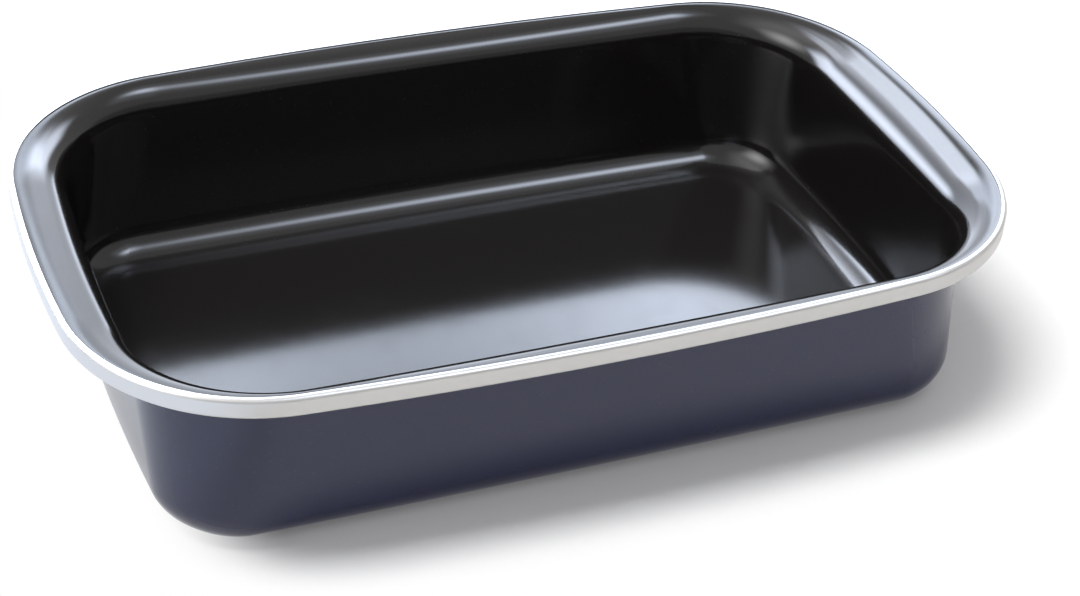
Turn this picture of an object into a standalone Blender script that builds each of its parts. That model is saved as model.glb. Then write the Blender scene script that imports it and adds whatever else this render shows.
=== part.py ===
"""Oblong roasting pan: a drawn steel shell, enamelled black inside and blue-grey outside, with a stainless
band crimped round its turned-down edge.

Every layer comes from one surface, the enamelled inside of the pan. That surface is a loft: a section runs
from the turned-down edge over the crest, down the flange, round the lip, down the wall and round the floor
fillet, and it is carried round four rails (rim, mouth, floor corner, flat floor) that share their stations.
The coats and the steel lie below it at their own depths, measured square to the surface.

Metres, +Z up. The origin is the middle of the base, on the surface that the pan stands on.
"""

import math
from dataclasses import dataclass

import bmesh
import bpy
import numpy as np

# Overall sizes of the rim, measured over the steel band
RIM_LENGTH = 0.400
RIM_WIDTH = 0.248
HEIGHT = 0.0816
RIM_CORNER = 0.078
RIM_END_BOW = 0.573
RIM_SIDE_BOW = 1.820

# Mouth, where the flange would meet the wall if the lip were sharp
END_FLANGE = 0.0250
SIDE_FLANGE = 0.0156
MOUTH_CORNER = 0.057
MOUTH_END_BOW = 1.250
MOUTH_SIDE_BOW = 6.000
END_DROP = 0.0076
SIDE_DROP = 0.0031
END_LIP_RADIUS = 0.0160
SIDE_LIP_RADIUS = 0.0125

# Walls and floor
END_DRAFT = math.radians(1.0)
SIDE_DRAFT = math.radians(2.9)
FLOOR_CORNER = 0.029
FLOOR_END_BOW = 0.930
FLOOR_SIDE_BOW = 8.000
FLOOR_FILLET = 0.0148
FLOOR_MARGIN = 0.020

# Sheet and coats
STEEL_THICKNESS = 0.0006
COAT_THICKNESS = 0.0002
LAYER_GAP = 0.00005

# Stainless band: a channel that closes over the crest and under the turned-down edge
BAND_HEIGHT = 0.0084
BAND_THICKNESS = 0.0004
BAND_SHOULDER = 0.0020
BAND_TOP_LIP = 0.0023
BAND_FOOT_RADIUS = 0.0012
BAND_FOOT_LIP = 0.0028
BAND_GAP = 0.00005
BAND_JOINT = 0.0004

# The enamelled crest beside the band
CREST_WIDTH = 0.0016
CREST_RADIUS = 0.0055

# Facets: segments of each stretch of a quarter of a rail, and of each rounding of the section
END_SEGMENTS = 3
CORNER_SEGMENTS = 9
SIDE_SEGMENTS = 4
SHOULDER_SEGMENTS = 2
CREST_SEGMENTS = 1
LIP_SEGMENTS = 4
FILLET_SEGMENTS = 4

SHEET_THICKNESS = 2 * COAT_THICKNESS + STEEL_THICKNESS + 2 * LAYER_GAP
SKIRT_INSET = BAND_THICKNESS + BAND_GAP
UP = np.array([0.0, 0.0, 1.0])


@dataclass(frozen=True)
class Rail:
    """A bowed oblong in plan: long sides, ends and corners are arcs that run into each other."""

    half_length: float
    half_width: float
    corner: float
    end_bow: float
    side_bow: float

    def stations(self):
        """Points and outward normals once round, anticlockwise from the middle of the +X end."""
        end_centre = np.array([self.half_length - self.end_bow, 0.0])
        side_centre = np.array([0.0, self.half_width - self.side_bow])
        corner_centre = self.corner_centre(end_centre, side_centre)
        leave_end = math.atan2(*(corner_centre - end_centre)[::-1])
        meet_side = math.atan2(*(corner_centre - side_centre)[::-1])
        points, normals = [], []
        for centre, radius, start, stop, count in (
            (end_centre, self.end_bow, 0.0, leave_end, END_SEGMENTS),
            (corner_centre, self.corner, leave_end, meet_side, CORNER_SEGMENTS),
            (side_centre, self.side_bow, meet_side, math.pi / 2, SIDE_SEGMENTS),
        ):
            angle = np.linspace(start, stop, count + 1)[:-1]
            outward = np.column_stack([np.cos(angle), np.sin(angle)])
            points.append(centre + radius * outward)
            normals.append(outward)
        return mirrored(np.concatenate(points), self.half_width), mirrored(np.concatenate(normals), 1.0)

    def corner_centre(self, end_centre, side_centre):
        """Centre of the corner arc, which touches the end's arc and the side's arc from inside."""
        to_end = self.end_bow - self.corner
        to_side = self.side_bow - self.corner
        between = end_centre - side_centre
        distance = np.linalg.norm(between)
        along = (to_side**2 - to_end**2 + distance**2) / (2 * distance)
        across = math.sqrt(to_side**2 - along**2)
        unit_between = between / distance
        return side_centre + along * unit_between + across * np.array([unit_between[1], -unit_between[0]])


def mirrored(quarter, top):
    """A whole loop in 3-D from its first quarter, whose last point, at (0, top), is left out of the quarter."""
    middle = np.array([[0.0, top]])
    half = np.concatenate([quarter, middle, quarter[:0:-1] * [-1, 1]])
    whole = np.concatenate([half, -half])
    return np.column_stack([whole, np.zeros(len(whole))])


def unit(vectors):
    return vectors / np.linalg.norm(vectors, axis=-1, keepdims=True)


def rounded(corners, radii, segments):
    """Rows of points along a line through the corners, with the inner corners rounded, and its directions.

    Each corner is one point for every station, so the same line is drawn at all stations at once.
    """
    points = [corners[0]]
    directions = [unit(corners[1] - corners[0])]
    for before, corner, after, radius, count in zip(corners, corners[1:], corners[2:], radii, segments):
        back = unit(before - corner)
        ahead = unit(after - corner)
        cosine = (back * ahead).sum(axis=-1, keepdims=True)
        inward = unit(ahead - cosine * back)
        turn = math.pi - np.arccos(cosine)
        centre = corner + back * radius * np.tan(turn / 2) + inward * radius
        for step in range(count + 1):
            angle = turn * step / count
            points.append(centre - radius * (inward * np.cos(angle) + back * np.sin(angle)))
            directions.append(inward * np.sin(angle) - back * np.cos(angle))
    points.append(corners[-1])
    directions.append(unit(corners[-1] - corners[-2]))
    return np.array(points), np.array(directions)


def surface_normals(points, directions):
    """Normals of rows of stations that close on themselves, on the left of the section's direction."""
    ahead = np.roll(points, -1, axis=1) - points
    behind = points - np.roll(points, 1, axis=1)
    along = ahead / (ahead**2).sum(axis=-1, keepdims=True) + behind / (behind**2).sum(axis=-1, keepdims=True)
    return unit(np.cross(along, directions))


def inside_surface():
    """The enamelled inside: rows of points from the turned-down edge to the flat floor, and their normals."""
    rim, outward = Rail(RIM_LENGTH / 2, RIM_WIDTH / 2, RIM_CORNER, RIM_END_BOW, RIM_SIDE_BOW).stations()
    mouth_length = RIM_LENGTH / 2 - END_FLANGE
    mouth_width = RIM_WIDTH / 2 - SIDE_FLANGE
    mouth, _ = Rail(mouth_length, mouth_width, MOUTH_CORNER, MOUTH_END_BOW, MOUTH_SIDE_BOW).stations()
    end_wall = HEIGHT - END_DROP - SHEET_THICKNESS
    side_wall = HEIGHT - SIDE_DROP - SHEET_THICKNESS
    floor_length = mouth_length - end_wall * math.tan(END_DRAFT)
    floor_width = mouth_width - side_wall * math.tan(SIDE_DRAFT)
    floor, floor_outward = Rail(
        floor_length, floor_width, FLOOR_CORNER, FLOOR_END_BOW, FLOOR_SIDE_BOW
    ).stations()

    # The mouth dips and its lip grows rounder from the sides to the ends, as the flange widens
    flange = np.linalg.norm(rim - mouth, axis=1, keepdims=True)
    widening = (flange - SIDE_FLANGE) / (END_FLANGE - SIDE_FLANGE)
    drop = SIDE_DROP + (END_DROP - SIDE_DROP) * widening
    lip_radius = SIDE_LIP_RADIUS + (END_LIP_RADIUS - SIDE_LIP_RADIUS) * widening

    top = HEIGHT - SKIRT_INSET
    skirt_foot = HEIGHT - BAND_HEIGHT + BAND_FOOT_RADIUS + BAND_GAP
    shoulder = BAND_SHOULDER - SKIRT_INSET
    crest_inset = BAND_SHOULDER + CREST_WIDTH
    corners = [
        rim - SKIRT_INSET * outward + skirt_foot * UP,
        rim - SKIRT_INSET * outward + top * UP,
        rim - crest_inset * outward + top * UP,
        mouth + (HEIGHT - drop) * UP,
        floor + SHEET_THICKNESS * UP,
        floor - FLOOR_MARGIN * floor_outward + SHEET_THICKNESS * UP,
    ]
    radii = (shoulder, CREST_RADIUS, lip_radius, FLOOR_FILLET)
    segments = (SHOULDER_SEGMENTS, CREST_SEGMENTS, LIP_SEGMENTS, FILLET_SEGMENTS)
    points, directions = rounded(corners, radii, segments)
    return points, surface_normals(points, directions)


def closed_mesh(name, upper, lower, closes_round):
    """A shell between two equal sheets of rows: its rows close round on themselves, or have two capped ends.

    A sheet whose rows close round is a bowl: its first row is an open edge and its last row is filled in.
    """
    bm = bmesh.new()
    sheets = [[[bm.verts.new(point) for point in row] for row in sheet] for sheet in (lower, upper)]
    columns = len(upper[0])
    steps = range(columns if closes_round else columns - 1)
    below, above = sheets
    edges = [(above[0], below[0], 1)]
    if not closes_round:
        edges.append((above[-1], below[-1], -1))
        for column, facing in ((0, -1), (-1, 1)):
            edges.append(([row[column] for row in above], [row[column] for row in below], facing))
    for first, second, facing in edges:
        for i in steps if first in (above[0], above[-1]) else range(len(first) - 1):
            j = (i + 1) % len(first)
            bm.faces.new([first[j], first[i], second[i], second[j]][::facing])
    for sheet, facing in zip(sheets, (-1, 1)):
        for row, following in zip(sheet, sheet[1:]):
            for i in steps:
                # Every sheet is split along the same diagonals, so that neighbouring layers stay parallel
                j = (i + 1) % columns
                bm.faces.new([row[i], row[j], following[j]][::facing])
                bm.faces.new([row[i], following[j], following[i]][::facing])
        if closes_round:
            bm.faces.new(sheet[-1][::facing])
    bmesh.ops.recalc_face_normals(bm, faces=bm.faces)
    if bm.calc_volume(signed=True) < 0:
        bmesh.ops.reverse_faces(bm, faces=bm.faces)
    mesh = bpy.data.meshes.new(name)
    bm.to_mesh(mesh)
    bm.free()
    return mesh


def finish(name, colour, roughness, metallic):
    """A material of one colour (linear), roughness and metallic value."""
    material = bpy.data.materials.new(name)
    material.use_nodes = True
    shader = material.node_tree.nodes["Principled BSDF"]
    shader.inputs["Base Color"].default_value = (*colour, 1.0)
    shader.inputs["Roughness"].default_value = roughness
    shader.inputs["Metallic"].default_value = metallic
    return material


def place(name, mesh, material, pan):
    """One named piece on the pan's own empty, shaded smooth between its crisp edges."""
    mesh.shade_smooth()
    mesh.set_sharp_from_angle(angle=math.radians(40))
    mesh.materials.append(material)
    piece = bpy.data.objects.new(name, mesh)
    piece.parent = pan
    bpy.context.scene.collection.objects.link(piece)
    return piece


def layer(name, points, normals, depth, thickness, material, pan):
    """One coat or sheet of the shell, from its depth below the enamelled inside to its thickness below that."""
    upper = points - depth * normals
    lower = points - (depth + thickness) * normals
    return place(name, closed_mesh(name, upper, lower, True), material, pan)


def rim_band(material, pan):
    """The channel section, run round the rim from one side of its butt joint, at the back, to the other."""
    rim, outward = Rail(RIM_LENGTH / 2, RIM_WIDTH / 2, RIM_CORNER, RIM_END_BOW, RIM_SIDE_BOW).stations()
    rear_middle = END_SEGMENTS + CORNER_SEGMENTS + SIDE_SEGMENTS
    rim = np.roll(rim, -rear_middle, axis=0)
    outward = np.roll(outward, -rear_middle, axis=0)
    rim = np.concatenate([rim, rim[:1]])
    outward = np.concatenate([outward, outward[:1]])
    rim[0, 0] -= BAND_JOINT / 2
    rim[-1, 0] += BAND_JOINT / 2
    foot = HEIGHT - BAND_HEIGHT
    sheets = []
    for inset in (0.0, BAND_THICKNESS):
        corners = [
            rim - BAND_FOOT_LIP * outward + (foot + inset) * UP,
            rim - inset * outward + (foot + inset) * UP,
            rim - inset * outward + (HEIGHT - inset) * UP,
            rim - BAND_TOP_LIP * outward + (HEIGHT - inset) * UP,
        ]
        radii = (BAND_FOOT_RADIUS - inset, BAND_SHOULDER - inset)
        points, _ = rounded(corners, radii, (SHOULDER_SEGMENTS, SHOULDER_SEGMENTS))
        sheets.append(points)
    return place("rim_band", closed_mesh("rim_band", sheets[0], sheets[1], False), material, pan)


def main():
    for leftover in list(bpy.data.objects):
        bpy.data.objects.remove(leftover, do_unlink=True)
    pan = bpy.data.objects.new("roasting_pan", None)
    bpy.context.scene.collection.objects.link(pan)

    points, normals = inside_surface()
    black = finish("black_enamel", (0.011, 0.011, 0.012), 0.08, 0.0)
    blue = finish("blue_grey_enamel", (0.020, 0.022, 0.046), 0.26, 0.0)
    sheet = finish("drawn_steel", (0.35, 0.34, 0.33), 0.45, 1.0)
    stainless = finish("stainless_steel", (0.62, 0.61, 0.59), 0.24, 1.0)
    steel_depth = COAT_THICKNESS + LAYER_GAP
    outer_depth = steel_depth + STEEL_THICKNESS + LAYER_GAP
    layer("enamel_inside", points, normals, 0.0, COAT_THICKNESS, black, pan)
    layer("steel_shell", points, normals, steel_depth, STEEL_THICKNESS, sheet, pan)
    layer("enamel_outside", points, normals, outer_depth, COAT_THICKNESS, blue, pan)
    rim_band(stainless, pan)


main()
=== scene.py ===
"""Looks of the oblong roasting pan: black enamel inside, blue-grey outside, a stainless band on the rim.

The pan's surface is worked out once, as rows of points that run round it, from the turned-down edge to the
floor. The two coats and the steel between them are thin shells cut from that surface at their own depths,
and the band is its own section carried round the same rim.
"""

import logging
import math
from dataclasses import dataclass, field
from enum import Enum
from typing import Any, Sequence

import bpy
import numpy as np
from mathutils import Matrix, Vector


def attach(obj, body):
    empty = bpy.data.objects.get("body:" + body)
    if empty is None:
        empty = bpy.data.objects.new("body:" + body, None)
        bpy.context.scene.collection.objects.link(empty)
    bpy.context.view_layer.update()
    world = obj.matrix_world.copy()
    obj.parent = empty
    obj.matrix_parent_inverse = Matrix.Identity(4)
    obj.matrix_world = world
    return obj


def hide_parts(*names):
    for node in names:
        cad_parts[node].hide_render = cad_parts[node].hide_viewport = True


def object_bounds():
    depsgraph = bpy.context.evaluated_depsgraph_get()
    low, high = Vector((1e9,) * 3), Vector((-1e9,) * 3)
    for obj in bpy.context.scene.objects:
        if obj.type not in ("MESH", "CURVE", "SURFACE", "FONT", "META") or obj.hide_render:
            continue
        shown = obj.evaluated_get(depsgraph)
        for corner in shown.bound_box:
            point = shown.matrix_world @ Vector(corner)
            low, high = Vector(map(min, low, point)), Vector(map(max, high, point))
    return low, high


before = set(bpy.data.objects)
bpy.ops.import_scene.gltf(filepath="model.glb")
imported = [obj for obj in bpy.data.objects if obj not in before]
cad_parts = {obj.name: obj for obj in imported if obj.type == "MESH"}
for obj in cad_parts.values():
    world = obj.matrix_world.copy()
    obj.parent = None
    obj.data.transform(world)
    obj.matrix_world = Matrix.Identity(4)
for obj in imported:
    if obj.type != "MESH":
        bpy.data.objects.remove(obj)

CAD_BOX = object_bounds()
BODY = "root"
MM = 0.001
UP = np.array([0.0, 0.0, 1.0])
SHARP_ANGLE = math.radians(50)
CUT_ANGLE = math.radians(60)
NOISE_MEAN = 0.5

log = logging.getLogger("roasting_pan")


# Shader maths


class Value:
    """A shader socket that adds Math nodes when it is used in an expression."""

    def __init__(self, graph: "Graph", socket: bpy.types.NodeSocket) -> None:
        """Wraps one output socket of a graph."""
        self.graph = graph
        self.socket = socket

    def __add__(self, other: "Value | float") -> "Value":
        """Sum."""
        return self.graph.math("ADD", self, other)

    def __sub__(self, other: "Value | float") -> "Value":
        """Difference."""
        return self.graph.math("SUBTRACT", self, other)

    def __rsub__(self, other: "Value | float") -> "Value":
        """Difference with this value on the right."""
        return self.graph.math("SUBTRACT", other, self)

    def __mul__(self, other: "Value | float") -> "Value":
        """Product."""
        return self.graph.math("MULTIPLY", self, other)

    __radd__ = __add__
    __rmul__ = __mul__

    def step(self, start: float, stop: float) -> "Value":
        """A smooth step of this value.

        Args:
            start: Where the step leaves 0.
            stop: Where it reaches 1.

        Returns:
            The stepped value, from 0 to 1.
        """
        settings = {"interpolation_type": "SMOOTHSTEP"}
        inputs = {"Value": self, "From Min": start, "From Max": stop}
        return self.graph.node("ShaderNodeMapRange", settings, inputs)["Result"]


class Made:
    """A node that has been made, whose outputs are read as values by name."""

    def __init__(self, graph: "Graph", node: bpy.types.Node) -> None:
        """Wraps one node of a graph."""
        self.graph = graph
        self.node = node

    def __getitem__(self, name: "str | int") -> Value:
        """The output of that name or number."""
        return Value(self.graph, self.node.outputs[name])


class Graph:
    """A node tree that is written as Python expressions."""

    def __init__(self, tree: bpy.types.NodeTree) -> None:
        """Empties a node tree and takes it over."""
        tree.nodes.clear()
        self.tree = tree

    def node(
        self, kind: str, settings: "dict[str, Any] | None" = None, inputs: "dict[Any, Any] | None" = None
    ) -> Made:
        """Adds one node.

        Args:
            kind: Blender's name for the type of node.
            settings: The node's own properties, set before its sockets.
            inputs: Values or links of its sockets, by name or number.

        Returns:
            The node that was made.
        """
        made = self.tree.nodes.new(kind)
        for name, setting in (settings or {}).items():
            setattr(made, name, setting)
        for name, value in (inputs or {}).items():
            if isinstance(value, Value):
                self.tree.links.new(value.socket, made.inputs[name])
            else:
                made.inputs[name].default_value = value
        return Made(self, made)

    def math(self, operation: str, first: "Value | float", second: "Value | float") -> Value:
        """One Math node on two values."""
        return self.node("ShaderNodeMath", {"operation": operation}, {0: first, 1: second})[0]

    def place(self) -> Value:
        """The point on the object, in metres."""
        return self.node("ShaderNodeTexCoord")["Object"]

    def unwrapped(self) -> Value:
        """The place on the piece's own UV map: metres on the band, and -1 to 1 on a light panel."""
        return self.node("ShaderNodeTexCoord")["UV"]

    def stretched(self, where: Value, scale: tuple[float, float, float]) -> Value:
        """A place whose axes are scaled, so that a pattern on it is drawn out."""
        return self.node("ShaderNodeMapping", {}, {"Vector": where, "Scale": scale})["Vector"]

    def noise(self, where: Value, pattern: "Pattern") -> Value:
        """Fractal noise from 0 to 1, read at a place."""
        inputs = {
            "Vector": where,
            "Scale": pattern.waves,
            "Detail": pattern.octaves,
            "Roughness": pattern.strength,
        }
        return self.node("ShaderNodeTexNoise", {}, inputs)["Fac"]

    def tint(self, share: Value, low: "Colour", high: "Colour") -> Value:
        """A colour that goes from low to high as the share goes from 0 to 1."""
        ramp = self.node("ShaderNodeValToRGB", {}, {"Fac": share})
        stops = ramp.node.color_ramp.elements
        stops[0].color = (*low, 1.0)
        stops[1].color = (*high, 1.0)
        return ramp["Color"]

    def relief(self, height: Value, depth: float, under: "Value | None" = None) -> Value:
        """A bumped normal: a height from 0 to 1 that stands for so many metres."""
        inputs: dict[str, Any] = {"Height": height, "Distance": depth, "Strength": 1.0}
        if under is not None:
            inputs["Normal"] = under
        return self.node("ShaderNodeBump", {}, inputs)["Normal"]


Colour = tuple[float, float, float]


@dataclass(frozen=True)
class Pattern:
    """Noise: its waves a unit of place, how many finer octaves it has, and how strong each of them is."""

    waves: float
    octaves: float
    strength: float


# Finishes


class Finish:
    """A surface finish that makes a new material for each piece that wears it."""

    slot: str

    def surface(self, graph: Graph) -> Made:
        """The shader of the finish, made in the graph."""
        raise NotImplementedError

    def material(self) -> bpy.types.Material:
        """The finish's own material, beside the plain one of the same slot that the CAD model brings."""
        made = bpy.data.materials.new(f"{self.slot}_finish")
        made.use_nodes = True
        graph = Graph(made.node_tree)
        graph.node("ShaderNodeOutputMaterial", {}, {"Surface": self.surface(graph)["BSDF"]})
        return made


@dataclass(frozen=True)
class FiredEnamel(Finish):
    """Fired enamel: a smooth glassy coat, slightly wavy, with fine specks and a faint bloom of handling.

    The peel and the swell are the depths of its fine and its broad waves, in metres. The bloom is how much
    duller its gloss is where it is clouded, and handling adds a share of it.
    """

    slot: str
    colour: Colour
    speck: Colour
    peel: float
    swell: float
    roughness: float = 0.10
    bloom: float = 0.04
    handling_share: float = 0.6
    refraction: float = 1.5
    specks: Pattern = Pattern(900.0, 1.0, 0.4)
    specks_step: tuple[float, float] = (0.66, 0.80)
    clouds: Pattern = Pattern(14.0, 3.0, 0.55)
    touches: Pattern = Pattern(46.0, 4.0, 0.6)
    touches_step: tuple[float, float] = (0.46, 0.74)
    broad_waves: Pattern = Pattern(9.0, 1.0, 0.4)
    fine_waves: Pattern = Pattern(420.0, 2.0, 0.5)

    def surface(self, graph: Graph) -> Made:
        """A dark coat whose colour has fine specks and whose gloss varies softly from place to place."""
        place = graph.place()
        specks = graph.noise(place, self.specks).step(*self.specks_step)
        cloud = graph.noise(place, self.clouds)
        handling = graph.noise(place, self.touches).step(*self.touches_step)
        swell = graph.relief(graph.noise(place, self.broad_waves), self.swell)
        inputs = {
            "Base Color": graph.tint(specks, self.colour, self.speck),
            "Roughness": self.roughness + self.bloom * cloud + self.handling_share * self.bloom * handling,
            "IOR": self.refraction,
            "Normal": graph.relief(graph.noise(place, self.fine_waves), self.peel, swell),
        }
        return graph.node("ShaderNodeBsdfPrincipled", {}, inputs)


@dataclass(frozen=True)
class RolledStainless(Finish):
    """Rolled stainless strip: satin, with fine lines drawn along its length and softer, duller patches.

    The stretch is the lines' waves a metre along the strip and across it, and the depth is how deep they
    are, in metres. The shares mix the two patterns in the colour, and the spreads are how far each varies
    the roughness.
    """

    slot: str
    colour: Colour
    dull: Colour
    roughness: float
    depth: float
    stretch: tuple[float, float, float] = (14.0, 5200.0, 1.0)
    lines: Pattern = Pattern(1.0, 3.0, 0.6)
    lines_share: float = 0.6
    lines_spread: float = 0.14
    patches: Pattern = Pattern(60.0, 3.0, 0.6)
    patches_share: float = 0.4
    patches_spread: float = 0.10

    def surface(self, graph: Graph) -> Made:
        """Metal whose gloss and height have lines that run along the strip's own UV map."""
        lines = graph.noise(graph.stretched(graph.unwrapped(), self.stretch), self.lines)
        patches = graph.noise(graph.place(), self.patches)
        shade = self.lines_share * lines + self.patches_share * patches
        streaks = self.lines_spread * (lines - NOISE_MEAN)
        inputs = {
            "Base Color": graph.tint(shade, self.dull, self.colour),
            "Metallic": 1.0,
            "Roughness": self.roughness + streaks + self.patches_spread * (patches - NOISE_MEAN),
            "Normal": graph.relief(lines, self.depth),
        }
        return graph.node("ShaderNodeBsdfPrincipled", {}, inputs)


@dataclass(frozen=True)
class DrawnSteel(Finish):
    """Bare drawn steel, as it lies between the coats: dull, with the cloudy grain of cold-rolled sheet."""

    slot: str
    colour: Colour
    dull: Colour
    roughness: float
    grain: Pattern = Pattern(240.0, 4.0, 0.6)
    grain_spread: float = 0.15

    def surface(self, graph: Graph) -> Made:
        """Metal with a cloudy grain in its colour and gloss."""
        grain = graph.noise(graph.place(), self.grain)
        inputs = {
            "Base Color": graph.tint(grain, self.dull, self.colour),
            "Metallic": 1.0,
            "Roughness": self.roughness + self.grain_spread * (grain - NOISE_MEAN),
        }
        return graph.node("ShaderNodeBsdfPrincipled", {}, inputs)


BLACK_ENAMEL = FiredEnamel(
    slot="black_enamel",
    colour=(0.0110, 0.0098, 0.0094),
    speck=(0.022, 0.021, 0.021),
    peel=0.9e-6,
    swell=30e-6,
)
BLUE_ENAMEL = FiredEnamel(
    slot="blue_grey_enamel",
    colour=(0.011, 0.0135, 0.050),
    speck=(0.021, 0.025, 0.066),
    peel=1.2e-6,
    swell=20e-6,
)
STAINLESS = RolledStainless(
    slot="stainless_steel",
    colour=(0.57, 0.56, 0.545),
    dull=(0.50, 0.49, 0.48),
    roughness=0.38,
    depth=0.8e-6,
)
SHEET_STEEL = DrawnSteel(
    slot="drawn_steel",
    colour=(0.38, 0.37, 0.36),
    dull=(0.30, 0.29, 0.28),
    roughness=0.45,
)


# The pan's surface


def unit(vectors: np.ndarray) -> np.ndarray:
    """Vectors of length 1 along the last axis."""
    return vectors / np.linalg.norm(vectors, axis=-1, keepdims=True)


@dataclass(frozen=True)
class Facets:
    """How many segments a quarter of a rail and the stretches of a section have."""

    end: int = 22
    corner: int = 34
    side: int = 26
    arc: int = 9
    run: int = 5


@dataclass(frozen=True)
class Rail:
    """A bowed oblong in plan: ends, corners and sides are arcs that run into each other."""

    half_length: float
    half_width: float
    corner: float
    end_bow: float
    side_bow: float

    def corner_centre(self, end: np.ndarray, side: np.ndarray) -> np.ndarray:
        """The corner arc's centre: it is as far from each bow's centre as the two radii differ.

        Args:
            end: Centre of the end's arc.
            side: Centre of the side's arc.

        Returns:
            The centre, in plan.
        """
        to_end, to_side = self.end_bow - self.corner, self.side_bow - self.corner
        apart = np.linalg.norm(end - side)
        toward = (end - side) / apart
        along = (to_side**2 - to_end**2 + apart**2) / (2 * apart)
        across = math.sqrt(to_side**2 - along**2)
        return side + along * toward + across * np.array([toward[1], -toward[0]])

    def stations(self, facets: Facets) -> tuple[np.ndarray, np.ndarray]:
        """Points once round the rail, and the outward normals there.

        Each arc's points are its centre plus its radius times (cos, sin) of an angle that grows evenly. The
        first quarter is mirrored to the other three.

        Args:
            facets: How many segments each arc has.

        Returns:
            Two arrays, of one row a station, anticlockwise from the middle of the +X end.
        """
        end = np.array([self.half_length - self.end_bow, 0.0])
        side = np.array([0.0, self.half_width - self.side_bow])
        corner = self.corner_centre(end, side)
        leave = math.atan2(*(corner - end)[::-1])
        meet = math.atan2(*(corner - side)[::-1])
        arcs = (
            (end, self.end_bow, 0.0, leave, facets.end),
            (corner, self.corner, leave, meet, facets.corner),
            (side, self.side_bow, meet, math.pi / 2, facets.side),
        )
        angle = [np.linspace(start, stop, count, endpoint=False) for _, _, start, stop, count in arcs]
        normal = [np.column_stack([np.cos(a), np.sin(a)]) for a in angle]
        point = [centre + radius * n for (centre, radius, *_), n in zip(arcs, normal)]
        points, normals = np.concatenate(point), np.concatenate(normal)
        return self.mirrored(points, self.half_width), self.mirrored(normals, 1.0)

    @staticmethod
    def mirrored(quarter: np.ndarray, top: float) -> np.ndarray:
        """A whole loop from its first quarter, which stops short of its last point at (0, top)."""
        half = np.concatenate([quarter, [[0.0, top]], quarter[:0:-1] * [-1, 1]])
        whole = np.concatenate([half, -half])
        return np.column_stack([whole, np.zeros(len(whole))])


def rounded(
    corners: Sequence[np.ndarray], radii: "Sequence[float | np.ndarray]", facets: Facets
) -> tuple[np.ndarray, np.ndarray]:
    """A line through corners with its inner corners rounded, at every station at once.

    A rounding of turn t and radius r touches both runs at r * tan(t / 2) from its corner. Its points are its
    centre less r times (inward * cos a + back * sin a), with a from 0 to t.

    Args:
        corners: The corners, each one array of a point for every station.
        radii: The radius of each inner corner, or its radius at each station.
        facets: How many segments the arcs and the straight runs have.

    Returns:
        Points and headings, as arrays of rows by stations by 3.
    """
    points, headings = [], []
    start = corners[0]
    share = np.linspace(0.0, 1.0, facets.run, endpoint=False)[:, None, None]
    for before, corner, after, radius in zip(corners, corners[1:], corners[2:], radii):
        back, ahead = unit(before - corner), unit(after - corner)
        cosine = (back * ahead).sum(axis=-1, keepdims=True)
        inward = unit(ahead - cosine * back)
        turn = math.pi - np.arccos(cosine)
        centre = corner + back * radius * np.tan(turn / 2) + inward * radius
        angle = np.linspace(0.0, 1.0, facets.arc + 1)[:, None, None] * turn
        arc = centre - radius * (inward * np.cos(angle) + back * np.sin(angle))
        heading = inward * np.sin(angle) - back * np.cos(angle)
        run = start + (arc[0] - start) * share
        points += [run, arc[:-1]]
        headings += [np.broadcast_to(-back, run.shape), heading[:-1]]
        start = arc[-1]
    last = np.linspace(0.0, 1.0, facets.run + 1)[:, None, None]
    run = start + (corners[-1] - start) * last
    points.append(run)
    headings.append(np.broadcast_to(unit(corners[-1] - start), run.shape))
    return np.concatenate(points), np.concatenate(headings)


def facing(points: np.ndarray, headings: np.ndarray) -> np.ndarray:
    """Surface normals: the tangent round the ring crossed with the section's heading.

    The tangent at a point is that of the circle through it and its two neighbours on the ring.

    Args:
        points: Rows of stations, which close on themselves.
        headings: The section's direction at each point.

    Returns:
        Unit normals, on the left of the heading.
    """
    steps = (np.roll(points, -1, axis=1) - points, points - np.roll(points, 1, axis=1))
    along = sum(step / (step**2).sum(axis=-1, keepdims=True) for step in steps)
    return unit(np.cross(along, headings))


def between(low: float, high: float, share: np.ndarray) -> np.ndarray:
    """The values that lie those shares of the way from low to high."""
    return low + (high - low) * share


def grid_faces(rows: int, columns: int, first: int, closed: bool, flip: bool) -> np.ndarray:
    """Four-sided faces of a grid of points that are numbered row by row.

    Args:
        rows: How many rows the grid has.
        columns: How many points each row has.
        first: The number of the grid's first point.
        closed: Whether each row closes on itself.
        flip: Whether the faces are turned over.

    Returns:
        An array of four point numbers a face.
    """
    step = np.arange(columns if closed else columns - 1)
    beside = (step + 1) % columns
    row = first + np.arange(rows - 1)[:, None] * columns
    quads = np.stack([row + step, row + beside, row + columns + beside, row + columns + step], axis=-1)
    return (quads[..., ::-1] if flip else quads).reshape(-1, 4)


def make_piece(name: str, points: np.ndarray, faces: "list[list[int]]", finish: Finish) -> bpy.types.Object:
    """A smooth-shaded mesh object at the origin, in its finish.

    Args:
        name: The piece's name.
        points: Its vertices.
        faces: Its faces, as lists of vertex numbers.
        finish: What it is made of.

    Returns:
        The object, linked to the scene.
    """
    mesh = bpy.data.meshes.new(name)
    mesh.from_pydata(points.tolist(), [], faces)
    mesh.update()
    mesh.shade_smooth()
    mesh.set_sharp_from_angle(angle=SHARP_ANGLE)
    mesh.materials.append(finish.material())
    piece = bpy.data.objects.new(name, mesh)
    bpy.context.scene.collection.objects.link(piece)
    return piece


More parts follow.
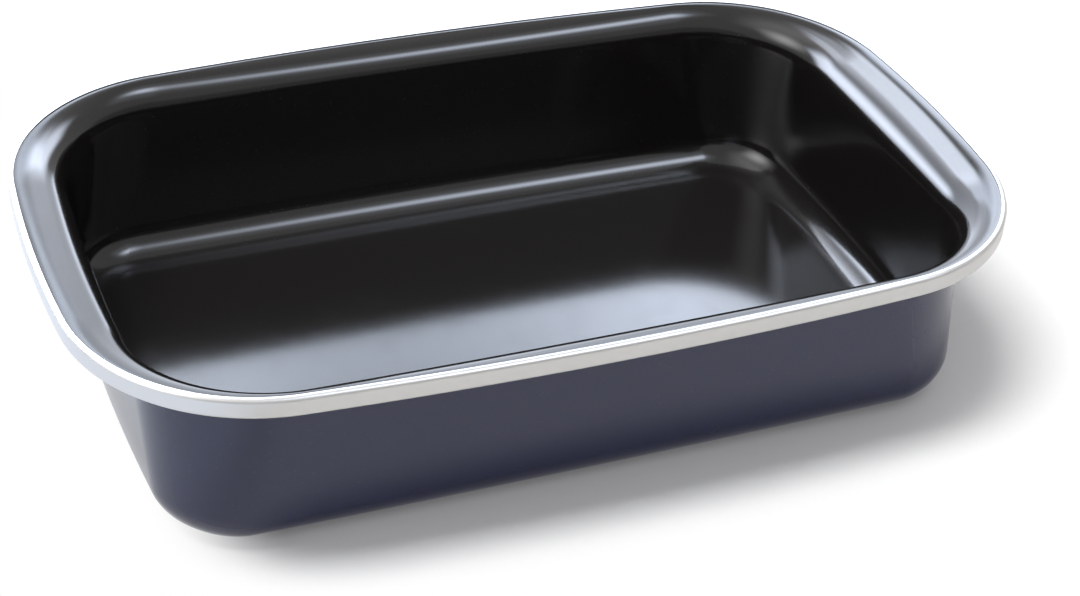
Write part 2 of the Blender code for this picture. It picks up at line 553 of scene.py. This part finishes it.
@dataclass(frozen=True)
class Form:
    """The pan's own sizes, in metres: one surface, the enamelled inside, and what is laid under it.

    A bow or a corner is a radius in plan, and a lip, a crest, a fillet or a shoulder is one in the section.
    A drop is how far the mouth lies below the top. The drafts are the slopes of the walls, in radians.
    """

    height: float
    rim: Rail
    end_flange: float = 25.0 * MM
    side_flange: float = 15.6 * MM
    mouth_corner: float = 57 * MM
    mouth_end_bow: float = 1250 * MM
    mouth_side_bow: float = 6000 * MM
    end_drop: float = 7.6 * MM
    side_drop: float = 3.1 * MM
    end_lip: float = 16.0 * MM
    side_lip: float = 12.5 * MM
    end_draft: float = math.radians(1.0)
    side_draft: float = math.radians(2.9)
    floor_corner: float = 29 * MM
    floor_end_bow: float = 930 * MM
    floor_side_bow: float = 8000 * MM
    fillet: float = 14.8 * MM
    floor_margin: float = 20 * MM
    steel: float = 0.6 * MM
    coat: float = 0.2 * MM
    gap: float = 0.05 * MM
    band: float = 0.4 * MM
    band_height: float = 8.4 * MM
    shoulder: float = 2.0 * MM
    foot_radius: float = 1.2 * MM
    end_crest_width: float = 4.2 * MM
    side_crest_width: float = 1.6 * MM
    end_crest: float = 20.0 * MM
    side_crest: float = 5.5 * MM

    @property
    def thickness(self) -> float:
        """The steel, both coats and the gaps between them."""
        return 2 * self.coat + self.steel + 2 * self.gap

    def surface(self, facets: Facets) -> tuple[np.ndarray, np.ndarray]:
        """The enamelled inside, as rows of stations from the turned-down edge to the floor.

        The section's corners are the skirt's foot and top, the inside of the crest, the mouth, the corner of
        the floor and a ring on the flat floor. Each is a rail. Where the flange is wide, the mouth dips, and
        the crest and the lip grow rounder.

        Args:
            facets: How fine it is.

        Returns:
            Points and normals, as arrays of rows by stations by 3.
        """
        rim, outward = self.rim.stations(facets)
        long, wide = self.rim.half_length - self.end_flange, self.rim.half_width - self.side_flange
        mouth_rail = Rail(long, wide, self.mouth_corner, self.mouth_end_bow, self.mouth_side_bow)
        mouth, _ = mouth_rail.stations(facets)
        long -= (self.height - self.end_drop - self.thickness) * math.tan(self.end_draft)
        wide -= (self.height - self.side_drop - self.thickness) * math.tan(self.side_draft)
        floor_rail = Rail(long, wide, self.floor_corner, self.floor_end_bow, self.floor_side_bow)
        floor, floor_outward = floor_rail.stations(facets)
        flange = np.linalg.norm(rim - mouth, axis=1, keepdims=True)
        widening = (flange - self.side_flange) / (self.end_flange - self.side_flange)
        drop = between(self.side_drop, self.end_drop, widening)
        lip = between(self.side_lip, self.end_lip, widening)
        crest = between(self.side_crest, self.end_crest, widening)
        crest_width = between(self.side_crest_width, self.end_crest_width, widening)
        inset = self.band + self.gap
        top = self.height - inset
        corners = [
            rim - inset * outward + (self.height - self.band_height + self.foot_radius + self.gap) * UP,
            rim - inset * outward + top * UP,
            rim - (self.shoulder + crest_width) * outward + top * UP,
            mouth + (self.height - drop) * UP,
            floor + self.thickness * UP,
            floor - self.floor_margin * floor_outward + self.thickness * UP,
        ]
        radii = (self.shoulder - inset, crest, lip, self.fillet)
        points, headings = rounded(corners, radii, facets)
        return points, facing(points, headings)


class Layer(Enum):
    """The layers of the shell, from the inside out."""

    INSIDE_COAT = "enamel_inside"
    STEEL = "steel_shell"
    OUTSIDE_COAT = "enamel_outside"


@dataclass(frozen=True)
class Shell:
    """The drawn and enamelled shell: a steel sheet between two coats."""

    form: Form
    facets: Facets = field(default_factory=Facets)

    def depths(self, layer: Layer) -> tuple[float, float]:
        """How deep a layer's two faces lie below the enamelled inside."""
        form = self.form
        steel = form.coat + form.gap
        outside = steel + form.steel + form.gap
        return {
            Layer.INSIDE_COAT: (0.0, form.coat),
            Layer.STEEL: (steel, steel + form.steel),
            Layer.OUTSIDE_COAT: (outside, outside + form.coat),
        }[layer]

    def build(self, layer: Layer, finish: Finish) -> bpy.types.Object:
        """One closed layer: two sheets, the edge between them, and a flat face in the floor of each.

        A sheet's point is the surface's point less its depth times the normal there.

        Args:
            layer: Which layer.
            finish: What it is made of.

        Returns:
            The piece, standing for its CAD node.
        """
        points, normals = self.form.surface(self.facets)
        rows, columns, _ = points.shape
        upper, lower = (points - depth * normals for depth in self.depths(layer))
        count = rows * columns
        around = np.arange(columns)
        beside = (around + 1) % columns
        edge = np.column_stack([beside, around, around + count, beside + count])
        quads = np.concatenate(
            [
                grid_faces(rows, columns, 0, True, False),
                grid_faces(rows, columns, count, True, True),
                edge,
            ]
        )
        floor = (rows - 1) * columns + around
        faces = quads.tolist() + [floor.tolist(), (floor[::-1] + count).tolist()]
        vertices = np.concatenate([upper.reshape(-1, 3), lower.reshape(-1, 3)])
        piece = make_piece(layer.value + "_skin", vertices, faces, finish)
        return stands_for(piece, layer.value)


@dataclass(frozen=True)
class RimBand:
    """The stainless band: a channel over the crest and under the turned-down edge, butted at the back.

    The lips are how far it reaches in from the rim, the joint is the gap between its two ends, and the edge
    is how far its cut edges are eased, which is less than the shortest step of its mesh.
    """

    form: Form
    top_lip: float = 2.3 * MM
    foot_lip: float = 2.8 * MM
    joint: float = 0.4 * MM
    edge: float = 0.07 * MM
    facets: Facets = field(default_factory=lambda: Facets(arc=7, run=4))

    def lines(self) -> list[np.ndarray]:
        """The outer and inner faces of the channel, as rows of stations that start and stop at the joint."""
        form = self.form
        rim, outward = form.rim.stations(self.facets)
        back = self.facets.end + self.facets.corner + self.facets.side
        rim, outward = (np.concatenate([loop[back:], loop[: back + 1]]) for loop in (rim, outward))
        rim[0, 0] -= self.joint / 2
        rim[-1, 0] += self.joint / 2
        foot = form.height - form.band_height
        sheets = []
        for inset in (0.0, form.band):
            corners = [
                rim - self.foot_lip * outward + (foot + inset) * UP,
                rim - inset * outward + (foot + inset) * UP,
                rim - inset * outward + (form.height - inset) * UP,
                rim - self.top_lip * outward + (form.height - inset) * UP,
            ]
            radii = (form.foot_radius - inset, form.shoulder - inset)
            points, _ = rounded(corners, radii, self.facets)
            sheets.append(points)
        return sheets

    def build(self, finish: Finish) -> bpy.types.Object:
        """The closed channel, with its cut edges eased and a UV map in metres along and across the strip.

        Args:
            finish: What it is made of.

        Returns:
            The piece, standing for its CAD node.
        """
        outer, inner = self.lines()
        section = np.concatenate([outer, inner[::-1]])
        loop, columns, _ = section.shape
        quads = grid_faces(loop, columns, 0, False, False)
        low = np.arange(columns - 1)
        top = (loop - 1) * columns + low
        closing = np.column_stack([top + 1, low + 1, low, top])
        first_end = np.arange(loop) * columns
        last_end = (first_end + columns - 1)[::-1]
        faces = np.concatenate([quads, closing]).tolist() + [first_end.tolist(), last_end.tolist()]
        piece = make_piece("rim_band_strip", section.reshape(-1, 3), faces, finish)
        self.unwrap(piece.data, section)
        bevel = piece.modifiers.new("eased edges", "BEVEL")
        bevel.width, bevel.segments = self.edge, 2
        bevel.limit_method, bevel.angle_limit = "ANGLE", CUT_ANGLE
        return stands_for(piece, "rim_band")

    @staticmethod
    def unwrap(mesh: bpy.types.Mesh, section: np.ndarray) -> None:
        """Gives the strip a UV map: u is the distance along it and v the distance round its section.

        Args:
            mesh: The strip's mesh.
            section: Its points, as rows by stations by 3.
        """
        along = np.linalg.norm(np.diff(section, axis=1), axis=-1).mean(axis=0).cumsum()
        across = np.linalg.norm(np.diff(section, axis=0), axis=-1).mean(axis=1).cumsum()
        u, v = np.meshgrid(np.concatenate([[0.0], along]), np.concatenate([[0.0], across]))
        uv = np.stack([u, v], axis=-1).reshape(-1, 2)
        corner = np.empty(len(mesh.loops), dtype=np.int32)
        mesh.loops.foreach_get("vertex_index", corner)
        mesh.uv_layers.new(name="strip").data.foreach_set("uv", uv[corner].ravel())


def stands_for(piece: bpy.types.Object, node: str) -> bpy.types.Object:
    """Puts a piece in a CAD node's place: it rides on the pan and hides the node."""
    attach(piece, BODY)
    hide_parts(node)
    return piece


# The studio


WHITE: Colour = (1.0, 1.0, 1.0)
PALE: Colour = (1.0, 1.0, 1.02)
SKY: Colour = (0.90, 0.99, 1.17)
DEEP_SKY: Colour = (0.87, 0.99, 1.20)
# Tint of the table's painted glare, which only gloss sees
LIGHT_SKY: Colour = (0.92, 0.99, 1.12)


@dataclass(frozen=True)
class Softbox:
    """A softly edged light panel that faces the pan and that the camera doesn't see.

    Its place is given from the pan: a bearing in degrees to the right of +Y, a height in degrees above the
    floor, half of its width and height in degrees as seen from there, its turn in its own plane, and how far
    off it stands, in metres. Its light is full in the middle and fades out over the share of each half side
    that is its edge. It lights either matt surfaces or gloss, and either adds to what is behind it or covers
    that.
    """

    name: str
    bearing: float
    height: float
    half_width: float
    half_height: float
    turn: float
    edge: float
    radiance: float
    tint: Colour = SKY
    lights_matt: bool = False
    covers: bool = False
    distance: float = 15.0

    def build(self) -> bpy.types.Object:
        """The panel, which stands at its distance from the pan, square to it."""
        bearing, height, turn = (math.radians(a) for a in (self.bearing, self.height, self.turn))
        wide, tall = (math.tan(math.radians(a)) for a in (self.half_width, self.half_height))
        flat = math.cos(height)
        away = Vector((math.sin(bearing) * flat, math.cos(bearing) * flat, math.sin(height)))
        level = away.cross(Vector((0, 0, 1))).normalized()
        upright = level.cross(away)
        side = (math.cos(turn) * level + math.sin(turn) * upright) * wide
        upward = (math.cos(turn) * upright - math.sin(turn) * level) * tall
        signs = ((-1, -1), (-1, 1), (1, 1), (1, -1))
        corners = [self.distance * (away + side * x + upward * y) for x, y in signs]
        mesh = bpy.data.meshes.new(self.name)
        mesh.from_pydata(corners, [], [(0, 1, 2, 3)])
        mesh.uv_layers.new(name="panel").data.foreach_set("uv", np.array(signs, dtype=float).ravel())
        mesh.materials.append(self.glow())
        panel = bpy.data.objects.new(self.name, mesh)
        bpy.context.scene.collection.objects.link(panel)
        panel.visible_camera = False
        panel.visible_shadow = False
        panel.visible_diffuse = self.lights_matt
        panel.visible_glossy = not self.lights_matt
        return panel

    def glow(self) -> bpy.types.Material:
        """Light that is added to what is behind the panel, or covers it, and fades out at the edges."""
        material = bpy.data.materials.new(self.name)
        material.use_nodes = True
        graph = Graph(material.node_tree)
        place = graph.node("ShaderNodeSeparateXYZ", {}, {"Vector": graph.unwrapped()})
        across, upward = (1.0 - graph.math("ABSOLUTE", place[axis], 0.0) for axis in ("X", "Y"))
        share = across.step(0.0, self.edge) * upward.step(0.0, self.edge)
        light = graph.node("ShaderNodeEmission", {}, {"Color": (*self.tint, 1.0), "Strength": self.radiance})
        clear = graph.node("ShaderNodeBsdfTransparent")
        added = graph.node("ShaderNodeAddShader", {}, {0: clear["BSDF"], 1: light["Emission"]})
        middle = light["Emission"] if self.covers else added["Shader"]
        both = graph.node("ShaderNodeMixShader", {}, {"Fac": share, 1: clear["BSDF"], 2: middle})
        graph.node("ShaderNodeOutputMaterial", {}, {"Surface": both["Shader"]})
        return material


@dataclass(frozen=True)
class Studio:
    """A white table under a pale dome, with a main light above the pan and panels that its gloss mirrors.

    The table is a square, so many metres wide. The dome is how strongly it lights matt surfaces, and the
    background is how bright the camera and gloss see it. Left of the pan the table carries painted light: it
    is painted pure white for the camera and gloss, which hides the shade there, and further left a brighter,
    bluish painted glare is seen in gloss only. Each step says where, across the table, that painted light
    starts and where it is full, in metres from the pan's middle.
    """

    table: float = 16.0
    table_white: float = 0.93
    table_spread: float = 0.01
    table_lift: float = 0.06
    # Strength of the table's painted glare, seen in gloss only
    painted_glare_strength: float = 1.35
    table_cloud: Pattern = Pattern(30.0, 3.0, 0.5)
    # Painted light: where the table's painted white, and then its painted glare in gloss, start and are full
    painted_light_step: tuple[float, float] = (-0.125, -0.175)
    painted_glare_step: tuple[float, float] = (-0.16, -0.23)
    dome: float = 0.60
    background: float = 1.0
    softboxes: tuple[Softbox, ...] = (
        # Name, bearing, height, half width, half height, turn, edge and radiance
        Softbox("main_light", -80.0, 72.0, 9.5, 18.0, 0.0, 0.5, 19.0, WHITE, lights_matt=True),
        Softbox("room_shade", 165.0, 6.0, 70.0, 15.0, 0.0, 0.6, 0.42, WHITE, covers=True),
        Softbox("back_glow", -13.3, 13.0, 35.3, 48.0, 21.0, 0.6, 2.4),
        Softbox("back_low_glow", 25.0, 17.0, 17.0, 20.0, 0.0, 0.55, 2.2, distance=4.6),
        Softbox("overhead_glow", -62.7, 62.9, 58.0, 27.3, -2.0, 0.95, 1.6, PALE),
        Softbox("front_glow", 139.0, 55.0, 24.0, 25.0, -7.0, 0.6, 0.8),
        Softbox("far_left_panel", -96.5, 30.4, 26.4, 23.6, 8.9, 1.0, 6.0, PALE),
        Softbox("back_low_panel", 20.5, 35.0, 13.2, 6.2, -8.0, 0.5, 5.4, DEEP_SKY, distance=2.9),
        Softbox("low_strip", 37.0, 4.0, 7.0, 9.0, 0.0, 0.7, 2.6),
        Softbox("back_high_panel", -6.6, 54.4, 13.5, 13.2, -4.9, 0.7, 6.5, distance=1.9),
        Softbox("back_middle_panel", 5.4, 42.2, 9.4, 7.5, 20.0, 0.74, 10.0),
        Softbox("left_panel", -42.8, 27.0, 19.8, 25.7, 14.0, 0.74, 15.0, distance=1.3),
        Softbox("right_back_panel", 47.2, 33.6, 22.6, 14.4, 5.6, 0.79, 10.0),
        Softbox("front_spot", 139.0, 56.5, 17.0, 11.0, 0.0, 1.0, 10.5),
    )

    def build(self) -> None:
        """Lays the table, lights the dome and sets up the softboxes."""
        self.lay_table()
        self.light_dome()
        for softbox in self.softboxes:
            softbox.build()
            log.info("softbox %s", softbox.name)

    def lay_table(self) -> None:
        """White table; painted light left of the pan: pure white to the camera, a painted glare in gloss."""
        half = self.table / 2
        corners = [(-half, -half, 0), (half, -half, 0), (half, half, 0), (-half, half, 0)]
        mesh = bpy.data.meshes.new("table_top")
        mesh.from_pydata(corners, [], [(0, 1, 2, 3)])
        material = bpy.data.materials.new("table_white")
        material.use_nodes = True
        graph = Graph(material.node_tree)
        cloud = graph.noise(graph.place(), self.table_cloud)
        white = graph.tint(cloud, (self.table_white,) * 3, (self.table_white + self.table_spread,) * 3)
        paper = graph.node("ShaderNodeBsdfDiffuse", {}, {"Color": white})
        lift = graph.node("ShaderNodeEmission", {}, {"Strength": self.table_lift * self.seen(graph)})
        both = graph.node("ShaderNodeAddShader", {}, {0: paper["BSDF"], 1: lift["Emission"]})
        across = graph.node("ShaderNodeSeparateXYZ", {}, {"Vector": graph.place()})["X"]
        glossy = graph.node("ShaderNodeLightPath")["Is Glossy Ray"]
        # Painted light left of the pan: painted pure white for camera and gloss, then a brighter painted
        # glare in gloss only
        for share, tint, strength in (
            (self.seen(graph) * across.step(*self.painted_light_step), WHITE, self.background),
            (glossy * across.step(*self.painted_glare_step), LIGHT_SKY, self.painted_glare_strength),
        ):
            painted_light_emission = graph.node("ShaderNodeEmission", {}, {"Color": (*tint, 1.0), "Strength": strength})
            inputs = {"Fac": share, 1: both["Shader"], 2: painted_light_emission["Emission"]}
            both = graph.node("ShaderNodeMixShader", {}, inputs)
        graph.node("ShaderNodeOutputMaterial", {}, {"Surface": both["Shader"]})
        mesh.materials.append(material)
        table = bpy.data.objects.new("table_top", mesh)
        bpy.context.scene.collection.objects.link(table)

    def light_dome(self) -> None:
        """A dome that gives soft light to matt surfaces, and is white to the camera and in gloss."""
        world = bpy.data.worlds.new("dome")
        bpy.context.scene.world = world
        world.use_nodes = True
        graph = Graph(world.node_tree)
        strength = self.dome + (self.background - self.dome) * self.seen(graph)
        dome = graph.node("ShaderNodeBackground", {}, {"Strength": strength})
        graph.node("ShaderNodeOutputWorld", {}, {"Surface": dome["Background"]})

    @staticmethod
    def seen(graph: Graph) -> Value:
        """1 for what the camera sees, straight, in gloss or in glass, and 0 for what only gives light."""
        path = graph.node("ShaderNodeLightPath")
        rays = path["Is Camera Ray"] + path["Is Glossy Ray"] + path["Is Transmission Ray"]
        return graph.math("MINIMUM", rays, 1.0)


@dataclass(frozen=True)
class Viewpoint:
    """The photograph's camera, in degrees, metres and millimetres of a 36 mm wide film."""

    bearing: float = -23.83
    height: float = 35.30
    roll: float = 4.02
    distance: float = 0.9124
    aim: tuple[float, float, float] = (0.00048, -0.03468, 0.0408)
    lens: float = 73.9
    film: float = 36.0

    def build(self) -> bpy.types.Object:
        """Makes the camera.

        Its back is (sin b cos h, -cos b cos h, sin h). Its right side is level, and both its right and its
        top are then turned by the roll about its back.

        Returns:
            The scene's camera.
        """
        turn, lift, roll = (math.radians(a) for a in (self.bearing, self.height, self.roll))
        back = Vector((math.sin(turn) * math.cos(lift), -math.cos(turn) * math.cos(lift), math.sin(lift)))
        level = Vector((math.cos(turn), math.sin(turn), 0.0))
        upright = back.cross(level)
        right = math.cos(roll) * level + math.sin(roll) * upright
        top = math.cos(roll) * upright - math.sin(roll) * level
        data = bpy.data.cameras.new("viewpoint")
        data.sensor_width, data.lens = self.film, self.lens
        camera = bpy.data.objects.new("viewpoint", data)
        bpy.context.scene.collection.objects.link(camera)
        turned = Matrix((right, top, back)).transposed().to_4x4()
        camera.matrix_world = Matrix.Translation(Vector(self.aim) + self.distance * back) @ turned
        bpy.context.scene.camera = camera
        return camera


def main() -> None:
    """Builds the pan, the studio and the camera."""
    logging.basicConfig(level=logging.INFO, format="%(name)s: %(message)s")
    bpy.context.scene.view_settings.view_transform = "Standard"
    low, high = CAD_BOX
    rim = Rail(
        half_length=(high[0] - low[0]) / 2,
        half_width=(high[1] - low[1]) / 2,
        corner=78 * MM,
        end_bow=573 * MM,
        side_bow=1820 * MM,
    )
    form = Form(height=high[2], rim=rim)
    shell = Shell(form)
    for layer, finish in (
        (Layer.INSIDE_COAT, BLACK_ENAMEL),
        (Layer.STEEL, SHEET_STEEL),
        (Layer.OUTSIDE_COAT, BLUE_ENAMEL),
    ):
        piece = shell.build(layer, finish)
        log.info("%s, %d faces", piece.name, len(piece.data.polygons))
    band = RimBand(form).build(STAINLESS)
    log.info("%s, %d faces", band.name, len(band.data.polygons))
    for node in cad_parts.values():
        log.info("CAD node %s is replaced", node.name)
    Studio().build()
    Viewpoint().build()


if __name__ == "__main__":
    main()
